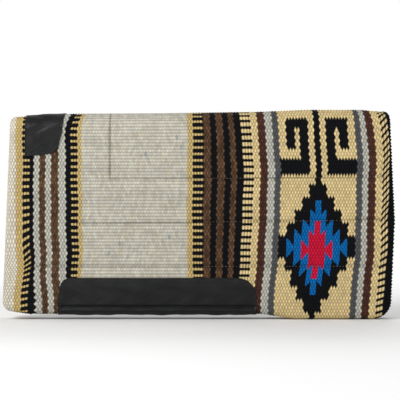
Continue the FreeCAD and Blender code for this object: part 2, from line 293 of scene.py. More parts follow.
# %% A slab with a rounded edge
def slab(line, spacing, box, round_radius, rings=5):
    """A closed slab on the plan: x, t and height from -1 (back) to 1 (front), and its faces."""
    xs = np.linspace(box[0], box[1], max(2, int(round((box[1] - box[0]) / spacing)) + 1))
    ts = np.linspace(box[2], box[3], max(2, int(round((box[3] - box[2]) / spacing)) + 1))
    grid = np.stack(np.meshgrid(xs, ts, indexing="ij"), -1).reshape(-1, 2)
    far, near, way = past_edge(line, grid)
    faces = trimmed(far, len(xs), len(ts))
    plan = np.where((far > 0)[:, None], near, grid)
    rim = rim_edges(faces)
    on_cut = far > -1e-6
    cut = rim[on_cut[rim[:, 0]] & on_cut[rim[:, 1]]]
    used = np.unique(cut)
    count = len(grid)
    place = np.full(count, -1)
    place[used] = np.arange(len(used))
    all_plan, height, all_faces = [plan], [np.ones(count)], [faces]
    last = np.arange(count)
    layers = [last]
    for ring in range(1, rings):
        angle = math.pi * ring / rings
        all_plan.append(near[used] + way[used] * round_radius * math.sin(angle))
        height.append(np.full(len(used), math.cos(angle)))
        new = np.full(count, -1)
        new[used] = count + (ring - 1) * len(used) + place[used]
        all_faces.append(np.stack([last[cut[:, 1]], last[cut[:, 0]],
                                   new[cut[:, 0]], new[cut[:, 1]]], 1))
        last = new
        layers.append(last)
    back = count + (rings - 1) * len(used) + np.arange(count)
    all_plan.append(plan)
    height.append(-np.ones(count))
    all_faces.append(np.stack([last[cut[:, 1]], last[cut[:, 0]], back[cut[:, 0]],
                               back[cut[:, 1]]], 1))
    all_faces.append(back[faces][:, ::-1])
    layers.append(back)
    spine = rim[~(on_cut[rim[:, 0]] & on_cut[rim[:, 1]])]
    if len(spine):
        all_faces.append(np.stack([spine[:, 1], spine[:, 0], back[spine[:, 0]],
                                   back[spine[:, 1]]], 1))
    for end, ordered in ((spine[:, 0], 1), (spine[:, 1], -1)):
        for corner in end[np.isin(end, used)]:
            ring = [layer[corner] for layer in layers]
            caps = [[ring[k], ring[k + 1], ring[rings - k - 1], ring[rings - k]]
                    for k in range(rings // 2)]
            all_faces.append(np.array(caps)[:, ::ordered])
    return np.concatenate(all_plan), np.concatenate(height), np.concatenate(all_faces)


# %% Points and faces as an object
def make_piece(name, points, faces, side, material, marks=None):
    """A mesh object from points and faces, without the points that no face uses."""
    used = np.unique(faces)
    renumber = np.full(len(points), -1)
    renumber[used] = np.arange(len(used))
    faces = renumber[faces] if side < 0 else renumber[faces][:, ::-1]
    mesh = bpy.data.meshes.new(name)
    mesh.from_pydata(points[used].tolist(), [], faces.tolist())
    for mark, values in (marks or {}).items():
        mesh.attributes.new(mark, "FLOAT", "POINT").data.foreach_set("value", values[used])
    mesh.polygons.foreach_set("use_smooth", np.ones(len(faces), bool))
    mesh.materials.append(material)
    piece = bpy.data.objects.new(name, mesh)
    bpy.context.scene.collection.objects.link(piece)
    return piece


# %% The two sides, and a piece's place baked into its mesh
SIDES = {"near": -1, "far": 1}


def hinge_fold(piece):
    """Bakes a piece's place into its mesh; it isn't tied to a side or to the ridge."""
    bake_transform(piece)


print("sides", list(SIDES))


# %% [markdown]
# ## Nodes and colours
# One helper adds a node to a shader or geometry tree, with its settings and its links, and one
# function turns a hex colour, as a yarn card gives it, into the linear numbers that Blender mixes.

# %% Helpers for nodes and colours


def node(tree, kind, inputs=None, **settings):
    made = tree.nodes.new(kind)
    for name, value in settings.items():
        setattr(made, name, value)
    for name, value in (inputs or {}).items():
        if isinstance(value, bpy.types.NodeSocket):
            tree.links.new(value, made.inputs[name])
        else:
            made.inputs[name].default_value = value
    return made


def linear(hex_colour):
    values = [int(hex_colour[k:k + 2], 16) / 255 for k in (0, 2, 4)]
    return [v / 12.92 if v <= 0.04045 else ((v + 0.055) / 1.055) ** 2.4 for v in values]


def new_material(name):
    made = bpy.data.materials.new(name)
    made.use_nodes = True
    made.node_tree.nodes.clear()
    return made, made.node_tree


# %% [markdown]
# ## Wool
# The blanket is woven from thick wool yarn, dyed before weaving. Each weft yarn shows as a short
# plump float, matte and slightly hairy. The weave's height paints shade where a yarn dives under its
# neighbour and a highlight on top of a float. The float's yarn colour comes from the weaver's chart
# below, kept on the mesh as a colour attribute.

# %% Wool material
FIBRE_MM = 0.9  # a real fibre is far finer; this is as coarse as it needs to be to show
WEAR_MM = 35.7


def wool_weave():
    material, tree = new_material("dyed wool weave")
    yarn = node(tree, "ShaderNodeAttribute", attribute_name="yarn")
    crest_and_shade = node(tree, "ShaderNodeAttribute", attribute_name="crest_and_shade")
    plan = node(tree, "ShaderNodeUVMap", uv_map="plan")
    along = node(tree, "ShaderNodeMapping", {"Vector": plan.outputs["UV"], "Scale": (1, 0.3, 1)})
    fibre = node(tree, "ShaderNodeTexNoise", {"Vector": along.outputs["Vector"],
                 "Scale": 1000 / FIBRE_MM, "Detail": 3, "Roughness": 0.65})
    wear = node(tree, "ShaderNodeTexNoise", {"Vector": plan.outputs["UV"],
                "Scale": 1000 / WEAR_MM, "Detail": 3, "Roughness": 0.55})
    # Painted shade and highlight: the weave's height scales the yarn colour, down to 0.34 where yarns
    # dive and up to 1.16 on top of a float.
    shade = node(tree, "ShaderNodeMapRange", {"Value": crest_and_shade.outputs["Fac"], "From Min": -0.8,
                 "From Max": 1.0, "To Min": 0.34, "To Max": 1.16})
    hair = node(tree, "ShaderNodeMapRange", {"Value": fibre.outputs["Fac"], "From Min": 0.3,
                "From Max": 0.7, "To Min": 0.86, "To Max": 1.12})
    blotch = node(tree, "ShaderNodeMapRange", {"Value": wear.outputs["Fac"], "From Min": 0.3,
                  "From Max": 0.7, "To Min": 0.94, "To Max": 1.05})
    one = node(tree, "ShaderNodeMath", {0: shade.outputs[0], 1: hair.outputs[0]},
               operation="MULTIPLY")
    two = node(tree, "ShaderNodeMath", {0: one.outputs[0], 1: blotch.outputs[0]},
               operation="MULTIPLY")
    colour = node(tree, "ShaderNodeVectorMath", {0: yarn.outputs["Color"], 1: two.outputs[0]},
                  operation="MULTIPLY")
    bump = node(tree, "ShaderNodeBump", {"Height": fibre.outputs["Fac"], "Strength": 0.35,
                "Distance": 0.0004})
    shader = node(tree, "ShaderNodeBsdfPrincipled", {"Base Color": colour.outputs[0],
                  "Roughness": 0.92, "Normal": bump.outputs[0], "Sheen Weight": 0.02,
                  "Sheen Roughness": 0.5, "Specular IOR Level": 0.05})
    node(tree, "ShaderNodeOutputMaterial", {"Surface": shader.outputs[0]})
    return material


WOOL = wool_weave()
print("made", WOOL.name)

# %% [markdown]
# ## The weaver's chart
# In a weft-faced plain weave each weft column shows as a float in every second row, and its
# neighbours fill the rows between. So the stripes are counted in weft columns, from the front
# edge to the rear. Where two yarns alternate column by column, one fills the even rows and the
# other the odd rows, which makes straight bars. A field holds two hooks and a stepped diamond.

# %% Yarns and the count of columns
COLUMN = 0.0033
ROW = 0.0072
TAPER = 0.0007
BAR_SHIFT = 0.0010
YARNS = {"cream": "DFD7C5", "yellow": "CBB176", "tan": "E0C892", "natural": "C9C5B7",
         "silver": "BFBDB1", "chestnut": "56402F", "brown": "4E322A", "smoke": "565759",
         "black": "141518", "blue": "0468AE", "red": "CF1B3B"}
STRIPES = [("cream", 6), ("yellow", 5), ("black yellow", 5), ("black", 2), ("silver", 4),
           ("chestnut", 4), ("silver", 4), ("chestnut", 5), ("silver", 5), ("black", 3),
           ("black yellow", 5), ("yellow", 3), ("natural", 72), ("yellow", 4),
           ("black yellow", 7), ("chestnut", 5), ("black", 4), ("chestnut", 5), ("black", 4),
           ("chestnut", 4), ("black", 4), ("tan black", 8), ("tan", 4), ("brown", 5),
           ("silver", 5), ("smoke", 4), ("field", 52), ("smoke", 4), ("silver", 4),
           ("brown", 5), ("tan", 4), ("tan black", 6), ("black", 4)]
CHART_START = -0.4345
STRIPE_ENDS = np.cumsum([count for _, count in STRIPES])
print(STRIPE_ENDS[-1], "columns,", round(STRIPE_ENDS[-1] * COLUMN, 3), "m")

# %% The field's hooks and diamond
DIAMOND_T = 0.2723
WAIST, TIER = 0.0264, 0.0290
STEP_COLUMNS, HALF_WIDTH, STEM = 5, 26, 2
HOOKS = [(6, 21, -0.017, 0.006), (15, 21, -0.017, 0.053), (6, 12, -0.017, 0.105),
         (6, 26, 0.072, 0.106)]
BLUE_TIPS, BLUE_STEM = (0.086, 0.064, 0.042, 0.021), 0.106
RED_TIPS, RED_STEM = (0.044, 0.021), 0.064
RED_DROP = 0.005
TOOTH = 0.019


def flame(away, rise, tips, stem_rise):
    """A stem with a row of teeth on each side, each tooth tallest on its outer side."""
    tooth = np.clip(((away - 0.6) / STEP_COLUMNS).astype(int), 0, len(tips))
    across = np.clip((away - tooth * STEP_COLUMNS) / STEP_COLUMNS, 0, 1)
    tall = np.r_[tips, -1][tooth] - TOOTH * (1 - across)
    return (rise < tall) | ((away < STEM) & (rise < stem_rise))


def field_yarn(away, t, fine_away, fine_t):
    """Yarn numbers in the field, away being the distance from its middle in columns."""
    names = list(YARNS)
    yarn = np.full(len(t), names.index("tan"))
    for inner, outer, top, bottom in HOOKS:
        yarn[(away > inner) & (away < outer) & (t > top) & (t < bottom)] = names.index("black")
    rise = np.abs(t - DIAMOND_T)
    tier = np.maximum(np.ceil((rise - WAIST) / TIER), 0)
    yarn[away < np.maximum(HALF_WIDTH - STEP_COLUMNS * tier, STEM)] = names.index("black")
    blue_rise = np.abs(fine_t - DIAMOND_T)
    red_rise = np.abs(fine_t - DIAMOND_T - RED_DROP)
    yarn[flame(fine_away, blue_rise, BLUE_TIPS, BLUE_STEM)] = names.index("blue")
    yarn[flame(fine_away, red_rise, RED_TIPS, RED_STEM)] = names.index("red")
    return yarn


# %% Yarn of every float


def stripe_of(column):
    return np.searchsorted(STRIPE_ENDS, np.clip(column, 0, STRIPE_ENDS[-1] - 1), side="right")


def is_stripe(column, words):
    """Whether a column lies in a stripe with one of these names."""
    wanted = [number for number, (kind, _) in enumerate(STRIPES) if kind in words]
    return np.isin(stripe_of(column), wanted)


def chart(column, t, row, fine_column, fine_t):
    """The yarn number of each float, from its column, its place down the side and its row."""
    names = list(YARNS)
    stripe = stripe_of(column)
    yarn = np.zeros(len(column), int)
    for number, (kind, count) in enumerate(STRIPES):
        here = stripe == number
        if kind == "field":
            middle = STRIPE_ENDS[number] - count / 2
            yarn[here] = field_yarn(np.abs(column[here] + 0.5 - middle), t[here],
                                    np.abs(fine_column[here] - middle), fine_t[here])
        elif " " in kind:
            first, second = (names.index(word) for word in kind.split())
            yarn[here] = np.where(row[here] % 2 == 0, first, second)
        else:
            yarn[here] = names.index(kind)
    return yarn


print(len(YARNS), "yarns,", len(STRIPES), "stripes")

# %% [markdown]
# ## The blanket
# The blanket could be a plain sheet with a woven picture on it, but then its edges and its
# outline would be as smooth as card. So its grid follows the weave: two points for each column
# and two for each row. A float is a leaf, raised at its middle. Its sides swell over the yarns
# that dive beside it, and its two tips reach into the rows above and below. So each cell between
# floats is cut along its diagonals, and every triangle is dyed as the float that covers it.

# %% Lines of the weave, which wander as handwoven columns do
WANDER_REAR = {-0.04: -0.0062, 0.0: -0.0040, 0.04: 0.0, 0.09: 0.0028, 0.20: 0.0,
               0.30: -0.004, 0.40: -0.014, 0.47: -0.014}
WANDER_FRONT = {0.0: 0.0, 0.20: 0.0, 0.285: 0.0034, 0.34: -0.0005, 0.47: 0.0}
SPINE_FLARE, SPINE_PINCH = 0.010, 0.006
FRONT_LEAN, HEM_HOOK = 0.006, 0.005
BARS_FROM, BARS_WIDTH = 0.402, 0.028
REAR_SLANT, REAR_SLANT_LOSS = 1.15, 0.85
FRONT_DROOP, FRONT_STEEP = 0.20, 0.65


def wander(x, t):
    """How far a column strays along the spine from its even place."""
    rear = np.interp(t, list(WANDER_REAR), list(WANDER_REAR.values()))
    front = np.interp(t, list(WANDER_FRONT), list(WANDER_FRONT.values()))
    ripple = 0.0007 * np.sin(t * 60 + x * 9) + 0.0006 * np.sin(t * 23 - x * 14)
    top = smooth((0.015 - t) / 0.06)
    flare = SPINE_FLARE * top * np.exp(-((x + 0.295) / 0.035) ** 2)
    pinch = SPINE_PINCH * top * smooth((x - 0.33) / 0.06)
    lean = FRONT_LEAN * smooth((t - 0.29) / 0.10) * smooth((x + 0.382) / 0.012)
    lean = lean * smooth((-0.26 - x) / 0.05)
    hook_in = HEM_HOOK * smooth((t - 0.33) / 0.06) * smooth((-0.374 - x) / 0.01)
    return (rear * smooth((x + 0.02) / 0.12) + front * smooth((-0.22 - x) / 0.06)
            + ripple + flare - pinch + lean - hook_in)


def slant(x, t):
    """Rows rise steeply in the rear bars, and droop towards the flared front edge."""
    steepness = REAR_SLANT - REAR_SLANT_LOSS * smooth((t - 0.22) / 0.14)
    rear = steepness * np.clip(x - BARS_FROM, 0, BARS_WIDTH)
    droop = FRONT_DROOP * smooth((t - 0.10) / 0.14) * np.clip(-0.345 - x, 0, 0.06)
    steep = FRONT_STEEP * np.exp(-((t - 0.265) / 0.045) ** 2)
    steep = steep * np.clip(-0.372 - x, 0, BARS_WIDTH)
    return (droop + steep - rear) * smooth((t + FOLD_LENGTH) / 0.04)


def under_leather(x, t):
    """1 where a leather is sewn down, so that the weave below it is pressed flat."""
    wither = (x > -0.394) & (x < -0.312) & (t < 0.066)
    wear = (x > -0.318) & (x < 0.126) & (t > 0.342)
    return (wither | wear).astype(float)


# %% Heights and colours in one cell of the weave
def weave_heights(a, b, matched, column):
    """Height of each grid point in the weave, from 1 on a float to -1 where yarns dive."""
    on_column, on_row = a % 2 == 1, b % 2 == 1
    where = [on_column & on_row & matched, on_column & on_row, on_row, on_column]
    plain = np.select(where, [1.0, -0.75, 0.30, -0.30], -0.35)
    ribbed = np.select(where, [0.62, 0.30, 0.48, -0.40], -0.45)
    return np.where(is_stripe(column, ("natural",)), ribbed, plain)


def split_cells(quads, a, b):
    """Each quad as two triangles, with the column and row of the float that covers each."""
    corner_a, corner_b = a[quads[:, 0]], b[quads[:, 0]]
    column, row = corner_a // 2, corner_b // 2
    p00, p01, p11, p10 = quads.T
    rising = (corner_a + corner_b) % 2 == 0
    halves = [np.where(rising, [p00, p01, p11], [p00, p01, p10]).T,
              np.where(rising, [p00, p11, p10], [p01, p11, p10]).T]
    hidden = np.tile((column + row) % 2 == 1, 2)
    sideways = np.concatenate([corner_a % 2 == 0, corner_a % 2 == 1])
    beside = np.tile(np.where(corner_a % 2 == 0, -1, 1), 2)
    above = np.tile(np.where(corner_b % 2 == 0, -1, 1), 2)
    return (np.concatenate(halves), np.tile(column, 2), np.tile(row, 2), beside, above,
            hidden & sideways, hidden & ~sideways)


# %% The grid of the weave, before it is cut
SPARE = 4.5 * ROLL
BAR_SHARE = {"black yellow": 1.0, "tan black": 0.6}
LOOSE, LOOSE_NATURAL = 0.00015, 0.0004


def weave_grid(random):
    """Each grid point's numbers along and down, and its place on the plan."""
    first = math.floor((-RIDGE_HALF - FRONT_FLARE - SPARE - CHART_START) / COLUMN)
    last = math.ceil((RIDGE_HALF + REAR_BULGE + SPARE - CHART_START) / COLUMN)
    columns = 2 * (last - first) + 1
    rows = int((FOLD_LENGTH + REAR_DROP + SPARE) / (ROW / 2)) + 1
    a, b = (m.ravel() for m in np.meshgrid(np.arange(columns), np.arange(rows), indexing="ij"))
    column = first + a // 2
    matched = ((a - 1) // 2 + b // 2) % 2 == 0
    u = CHART_START + (first + a / 2) * COLUMN
    t = -FOLD_LENGTH + b * ROW / 2
    boundary = (b % 2 == 0) & (b > 0)
    t = t - TAPER * np.where(matched, 1, -1) * (boundary & (a % 2 == 1))
    bars = sum(share * is_stripe(column, (kind,)) for kind, share in BAR_SHARE.items())
    t = t + BAR_SHIFT * np.where((b // 2) % 2 == 0, -1, 1) * boundary * bars
    loose = np.where(is_stripe(column, ("natural",)), LOOSE_NATURAL, LOOSE)
    x = u + wander(u, t) + loose * random.normal(size=len(u))
    t = t + slant(u, t) + LOOSE * random.normal(size=len(u)) * (b > 0)
    return first, (columns, rows), a, b, matched, np.stack([x, t], 1)


# %% Build a half of the blanket
HEM_TURN = 0.9 * math.pi
BLANKET_SEEDS = {"near": 7, "far": 8}
RELIEF = 0.0010
BORDER_RELIEF, BORDER_FROM, BORDER_FADE = 1.2, 0.410, 0.006
# The seam dip also paints shade on the wool colour along the quilting seams.
SEWN_DIP_AND_SHADE, SEWN_WIDTH = 0.5, 0.0022
CREASE_PRESS, CREASE_REACH = 0.0016, 0.007
FLAT_UNDER_LEATHER = 0.8


def blanket_half(side_name):
    """Everything that the blanket's mesh needs, for one side of the pad."""
    side = SIDES[side_name]
    random = np.random.default_rng(BLANKET_SEEDS[side_name])
    first, shape, a, b, matched, grid = weave_grid(random)
    far, near, way = past_edge(roll_line, grid)
    reach = HEM_TURN * ROLL
    quads = trimmed(far, *shape, reach)
    beyond = far > reach
    plan = np.where(beyond[:, None], near + way * reach, grid)
    # These heights lift the weave and also paint its shade and highlight in the wool material.
    crest_and_shade = weave_heights(a, b, matched, first + a // 2) * random.uniform(0.8, 1.15, len(a))
    sewn = np.min([from_run(*plan.T, ends) for ends in SEAMS.values()], axis=0)
    covered = under_leather(*plan.T)
    # Painted shade along the quilting seams: the dip lowers the weave and also darkens its colour
    # there, except under a leather.
    crest_and_shade = crest_and_shade - SEWN_DIP_AND_SHADE * np.exp(-(sewn / SEWN_WIDTH) ** 2) * (1 - covered)
    crest_and_shade[beyond] = 0
    border = 1 + BORDER_RELIEF * smooth((plan[:, 0] - BORDER_FROM) / BORDER_FADE)
    pressed = CREASE_PRESS * np.exp(-((plan[:, 1] - CREASE_T) / CREASE_REACH) ** 2)
    lift = crest_and_shade * RELIEF * border * (1 - FLAT_UNDER_LEATHER * covered) - pressed * covered
    points = on_blanket(*plan.T, lift, side)
    faces, column, row, beside, above, by_side, by_tip = split_cells(quads, a, b)
    barred = is_stripe(first + column, ("black yellow", "tan black"))
    column = column + beside * (by_side | (by_tip & barred))
    row = row + above * (by_tip & ~barred)
    fine_column = first + a[faces].mean(1) / 2
    fine_t = -FOLD_LENGTH + b[faces].mean(1) * ROW / 2
    row_t = -FOLD_LENGTH + (row + 0.5) * ROW
    yarn = chart(first + column, row_t, row, fine_column, fine_t)
    return side, points, faces, plan, crest_and_shade, yarn, first + column, row, random


# %% Dye the floats
UNEVEN = {"chestnut": 0.28, "brown": 0.22, "natural": 0.13, "silver": 0.11, "tan": 0.11}
UNEVEN_OTHERS = 0.07


def yarn_colours(yarn, column, row, random):
    """A colour for each face, the same over one float, with the yarn's own unevenness."""
    names = list(YARNS)
    card = np.array([linear(YARNS[name]) for name in names])
    colour = card[yarn]
    key = (column * 7919 + row * 104729) % 65536
    dice = random.uniform(size=(65536, 3))[key]
    spread = np.array([UNEVEN.get(name, UNEVEN_OTHERS) for name in names])[yarn]
    colour = colour * (1 + spread[:, None] * (2 * dice[:, :1] - 1))
    fleck = np.array(linear("7A5A42"))
    heather = (yarn == names.index("chestnut")) & (dice[:, 1] > 0.72)
    colour[heather] = 0.5 * colour[heather] + 0.5 * fleck
    beige = (yarn == names.index("natural")) & (dice[:, 1] > 0.86)
    colour[beige] = colour[beige] * np.array([1.0, 0.95, 0.88])
    steel = (yarn == names.index("natural")) & (dice[:, 2] > 0.996)
    colour[steel] = colour[steel] * np.array([0.62, 0.72, 0.82])
    streak = random.uniform(0.94, 1.05, 4096)[row % 4096]
    colour = colour * np.where(yarn == names.index("natural"), streak, 1)[:, None]
    return np.clip(colour, 0.004, 0.95)


# %% Make both halves
def make_blanket(side_name):
    side, points, faces, plan, crest_and_shade, yarn, column, row, random = blanket_half(side_name)
    colour = yarn_colours(yarn, column, row, random)
    rim = rim_edges(faces)
    used = np.unique(rim)
    count = len(points)
    turned_in = np.full(count, -1)
    turned_in[used] = count + np.arange(len(used))
    inner = on_blanket(plan[used, 0], plan[used, 1], -BLANKET_THICKNESS, side)
    start, end = rim.T
    flange = np.concatenate([np.stack([end, start, turned_in[start]], 1),
                             np.stack([end, turned_in[start], turned_in[end]], 1)])
    points = np.concatenate([points, inner])
    crest_and_shade = np.concatenate([crest_and_shade, np.zeros(len(used))])
    plan = np.concatenate([plan, plan[used]])
    colour = np.concatenate([colour, np.tile(linear(YARNS["cream"]), (len(flange), 1)) * 0.8])
    faces = np.concatenate([faces, flange])
    piece = make_piece(side_name + "_wool_blanket", points, faces, side, WOOL, {"crest_and_shade": crest_and_shade})
    order = faces if side < 0 else faces[:, ::-1]
    mesh = piece.data
    shown = np.concatenate([np.repeat(colour, 3, axis=0), np.ones((3 * len(faces), 1))], 1)
    mesh.color_attributes.new("yarn", "FLOAT_COLOR", "CORNER").data.foreach_set(
        "color", shown.astype(np.float32).ravel())
    mesh.uv_layers.new(name="plan").data.foreach_set(
        "uv", plan[order.ravel()].astype(np.float32).ravel())
    return piece


blankets = {name: make_blanket(name) for name in SIDES}
for name, piece in blankets.items():
    print(piece.name, len(piece.data.polygons), "faces")

# %% [markdown]
# ## Wear leathers
# The leathers are chrome-tanned cowhide about 2 mm thick, finished black and half matte, with a
# fine pebbled grain and pressed, darker edges. They could be flat plates, but real ones follow
# the blanket, so each is a slab cut on the plan and laid over the blanket's face.

# %% Leather material
GRAIN_MM = 1.3  # real pebbles are finer; drawn as coarse as they need to be to show
CREASE_MM, CLOUD_MM = 10.53, 45.5


def black_leather():
    material, tree = new_material("chrome tanned cowhide")
    place = node(tree, "ShaderNodeTexCoord").outputs["Object"]
    edge = node(tree, "ShaderNodeAttribute", attribute_name="edge")
    grain = node(tree, "ShaderNodeTexVoronoi", {"Vector": place, "Scale": 1000 / GRAIN_MM,
                 "Randomness": 1.0}, feature="F1")
    crease = node(tree, "ShaderNodeTexNoise", {"Vector": place, "Scale": 1000 / CREASE_MM,
                  "Detail": 5, "Roughness": 0.62, "Distortion": 0.6})
    cloud = node(tree, "ShaderNodeTexNoise", {"Vector": place, "Scale": 1000 / CLOUD_MM,
                 "Detail": 4, "Roughness": 0.6})
    tone = node(tree, "ShaderNodeMix", {"Factor": cloud.outputs["Fac"]}, data_type="RGBA")
    tone.inputs[6].default_value = (*linear("050606"), 1)
    tone.inputs[7].default_value = (*linear("0F1011"), 1)
    # The edge attribute darkens the dyed edges, and also paints shade along the wear leather's crease.
    edge_dye_and_crease_shade = node(tree, "ShaderNodeMix", {"Factor": edge.outputs["Fac"]}, data_type="RGBA")
    tree.links.new(tone.outputs[2], edge_dye_and_crease_shade.inputs[6])
    edge_dye_and_crease_shade.inputs[7].default_value = (*linear("08090A"), 1)
    height = node(tree, "ShaderNodeMath", {0: crease.outputs["Fac"], 1: 1.6},
                  operation="MULTIPLY")
    fine = node(tree, "ShaderNodeMath", {0: grain.outputs["Distance"], 1: height.outputs[0]},
                operation="ADD")
    relief = node(tree, "ShaderNodeMath", {0: cloud.outputs["Fac"], 1: 12.0,
                  2: fine.outputs[0]}, operation="MULTIPLY_ADD")
    bump = node(tree, "ShaderNodeBump", {"Height": relief.outputs[0], "Strength": 0.45,
                "Distance": 0.0005})
    gloss = node(tree, "ShaderNodeMapRange", {"Value": crease.outputs["Fac"], "From Min": 0.3,
                 "From Max": 0.7, "To Min": 0.30, "To Max": 0.50})
    shader = node(tree, "ShaderNodeBsdfPrincipled", {"Base Color": edge_dye_and_crease_shade.outputs[2],
                  "Roughness": gloss.outputs[0], "Normal": bump.outputs[0],
                  "Specular IOR Level": 0.24})
    node(tree, "ShaderNodeOutputMaterial", {"Surface": shader.outputs[0]})
    return material


LEATHER = black_leather()
print("made", LEATHER.name)

# %% Cut lines of the leathers
wither_low, wither_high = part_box("near_wither_leather")
wear_low, wear_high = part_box("near_wear_leather")
WITHER_DROP = FOLD_Z - wither_low.z
WITHER_TAPER, WITHER_RISE, WITHER_CORNER = 0.012, 0.007, 0.028
WITHER_FLARE, WITHER_FLARE_FROM = 0.006, 0.012
WITHER_EDGE = [(wither_low.x, -FOLD_LENGTH), (wither_low.x, WITHER_DROP),
               (wither_high.x - WITHER_TAPER, WITHER_DROP - WITHER_RISE),
               (wither_high.x, WITHER_FLARE_FROM),
               (wither_high.x + WITHER_FLARE, -FOLD_LENGTH)]
WEAR_TOP = FOLD_Z - wear_high.z
WEAR_UNDER = SIDE_DROP - ROLL + 0.80 * math.pi * ROLL
WEAR_LEAN, WEAR_FRONT_CORNER, WEAR_REAR_CORNER = 0.007, 0.024, 0.045
WEAR_EDGE = [(wear_low.x, WEAR_UNDER - 0.03), (wear_low.x, WEAR_UNDER),
             (wear_high.x, WEAR_UNDER), (wear_high.x, WEAR_TOP),
             (wear_low.x + WEAR_LEAN, WEAR_TOP), (wear_low.x, WEAR_UNDER - 0.03)]
WEAR_CORNERS = {3: WEAR_REAR_CORNER, 4: WEAR_FRONT_CORNER}
EDGE_MARGIN = 0.004
HALF = LEATHER_THICKNESS / 2
LEATHER_BASE = 0.0004
BOX_SPARE = 0.004
LEATHER_GRID, CUT_STEP = 0.002, 0.0015
print("wither drop", round(WITHER_DROP, 4), "wear top", round(WEAR_TOP, 4))


# %% Wrinkles, crease and edge of a leather
FINE_WRINKLE, BROAD_WRINKLE = 0.00025, 0.0009
CREASE_DIP, CREASE_DIP_WIDTH, CREASE_SHADE_WIDTH = 0.0014, 0.0020, 0.0018
STITCH_PULL, STITCH_PULL_WIDTH = 0.0006, 0.0012


def leather_marks(line, plan):
    """How dark the edge is, and how far the edge stitching pulls the leather in."""
    far = -past_edge(line, plan)[0]
    edge = 1 - smooth((far - 0.0004) / 0.0012)
    pulled = STITCH_PULL * np.exp(-((far - EDGE_MARGIN) / STITCH_PULL_WIDTH) ** 2)
    return edge, pulled


def lay_leather(name, line, box, side_name, material, crease=None):
    side = SIDES[side_name]
    plan, height, faces = slab(line, LEATHER_GRID, box, HALF)
    edge, pulled = leather_marks(line, plan)
    x, t = plan.T
    wrinkle = FINE_WRINKLE * np.sin(x * 210 + 3 * np.sin(t * 130)) * np.sin(t * 170 + x * 60)
    broad = BROAD_WRINKLE * np.sin(x * 74 + 2.2 * np.sin(t * 61)) * np.sin(t * 83 + x * 31)
    wrinkle = wrinkle + broad
    lift = LEATHER_BASE + HALF + HALF * height - pulled + wrinkle
    if crease:
        lift = lift - CREASE_DIP * np.exp(-((t - crease) / CREASE_DIP_WIDTH) ** 2)
        # Painted shade: the crease is darkened through the edge attribute, as shade in its groove.
        edge = np.maximum(edge, 0.95 * np.exp(-((t - crease) / CREASE_SHADE_WIDTH) ** 2))
    points = on_blanket(x, t, lift, side)
    return make_piece(name, points, faces, side, material, {"edge": edge})


# %% Lay the leathers
wither_line = edge_line(WITHER_EDGE, {2: WITHER_CORNER}, HALF, CUT_STEP)
wear_line = edge_line(WEAR_EDGE, WEAR_CORNERS, HALF, CUT_STEP)
wither_box = (wither_low.x - BOX_SPARE, wither_high.x + WITHER_FLARE + BOX_SPARE, -FOLD_LENGTH,
              WITHER_DROP + BOX_SPARE)
wear_box = (wear_low.x - BOX_SPARE, wear_high.x + BOX_SPARE, WEAR_TOP - BOX_SPARE,
            WEAR_UNDER + BOX_SPARE)
leathers = {}
for side_name in SIDES:
    for part, line, box, crease in (("wither", wither_line, wither_box, None),
                                    ("edge", wear_line, wear_box, CREASE_T)):
        name = f"{side_name}_{part}_wear_leather"
        leathers[name] = lay_leather(name, line, box, side_name, LEATHER, crease)
for piece in leathers.values():
    print(piece.name, len(piece.data.polygons), "faces")

# %% [markdown]
# ## Fleece liner and felt core
# The liner is a woven backing with a curly wool pile, and the core is pressed wool felt. The pile
# could be hair, but an exported mesh can't carry hair, so its tufts are raised in the surface.

# %% Fleece and felt materials
MATTING_MM = 55.6


def soft_wool(name, light, shadow, tuft_mm, depth):
    material, tree = new_material(name)
    place = node(tree, "ShaderNodeTexCoord").outputs["Object"]
    curl = node(tree, "ShaderNodeTexNoise", {"Vector": place, "Scale": 1000 / tuft_mm,
                "Detail": 4, "Roughness": 0.6, "Distortion": 0.8})
    cloud = node(tree, "ShaderNodeTexNoise", {"Vector": place, "Scale": 1000 / MATTING_MM,
                 "Detail": 2})
    mix = node(tree, "ShaderNodeMath", {0: curl.outputs["Fac"], 1: cloud.outputs["Fac"]},
               operation="MULTIPLY_ADD")
    mix.inputs[2].default_value = 0.25
    tone = node(tree, "ShaderNodeMix", {"Factor": mix.outputs[0]}, data_type="RGBA")
    tone.inputs[6].default_value = (*linear(shadow), 1)
    tone.inputs[7].default_value = (*linear(light), 1)
    bump = node(tree, "ShaderNodeBump", {"Height": curl.outputs["Fac"], "Strength": 0.6,
                "Distance": depth})
    shader = node(tree, "ShaderNodeBsdfPrincipled", {"Base Color": tone.outputs[2],
                  "Roughness": 0.95, "Normal": bump.outputs[0], "Sheen Weight": 0.3,
                  "Sheen Roughness": 0.6, "Specular IOR Level": 0.1})
    node(tree, "ShaderNodeOutputMaterial", {"Surface": shader.outputs[0]})
    return material


FLEECE = soft_wool("curly wool fleece", "F0E8D4", "B9AC8C", 3.5, 0.001)
FELT = soft_wool("pressed wool felt", "8A857B", "55514A", 1.2, 0.0003)

# %% Build the liner and the core
CORE_BACK, CORE_FACE = INNER + 0.0072, OUTER - BLANKET_THICKNESS - 0.0005
LINER_BACK, LINER_FACE = INNER + 0.0065, INNER - 0.0002
LINER_INSET, CORE_INSET = 0.0088, 0.0065
LINER_GRID, CORE_GRID = 0.0034, 0.008
PILE = 0.0011


def tufts(x, t):
    """Curls of the pile, as bumps a few millimetres across."""
    curl = np.sin(x * 830 + 2.4 * np.sin(t * 560)) * np.sin(t * 790 + 2.2 * np.sin(x * 610))
    clump = np.sin(x * 190 + 1.7 * np.sin(t * 240)) * np.sin(t * 210 - x * 70)
    return 0.5 * curl + 0.5 * clump


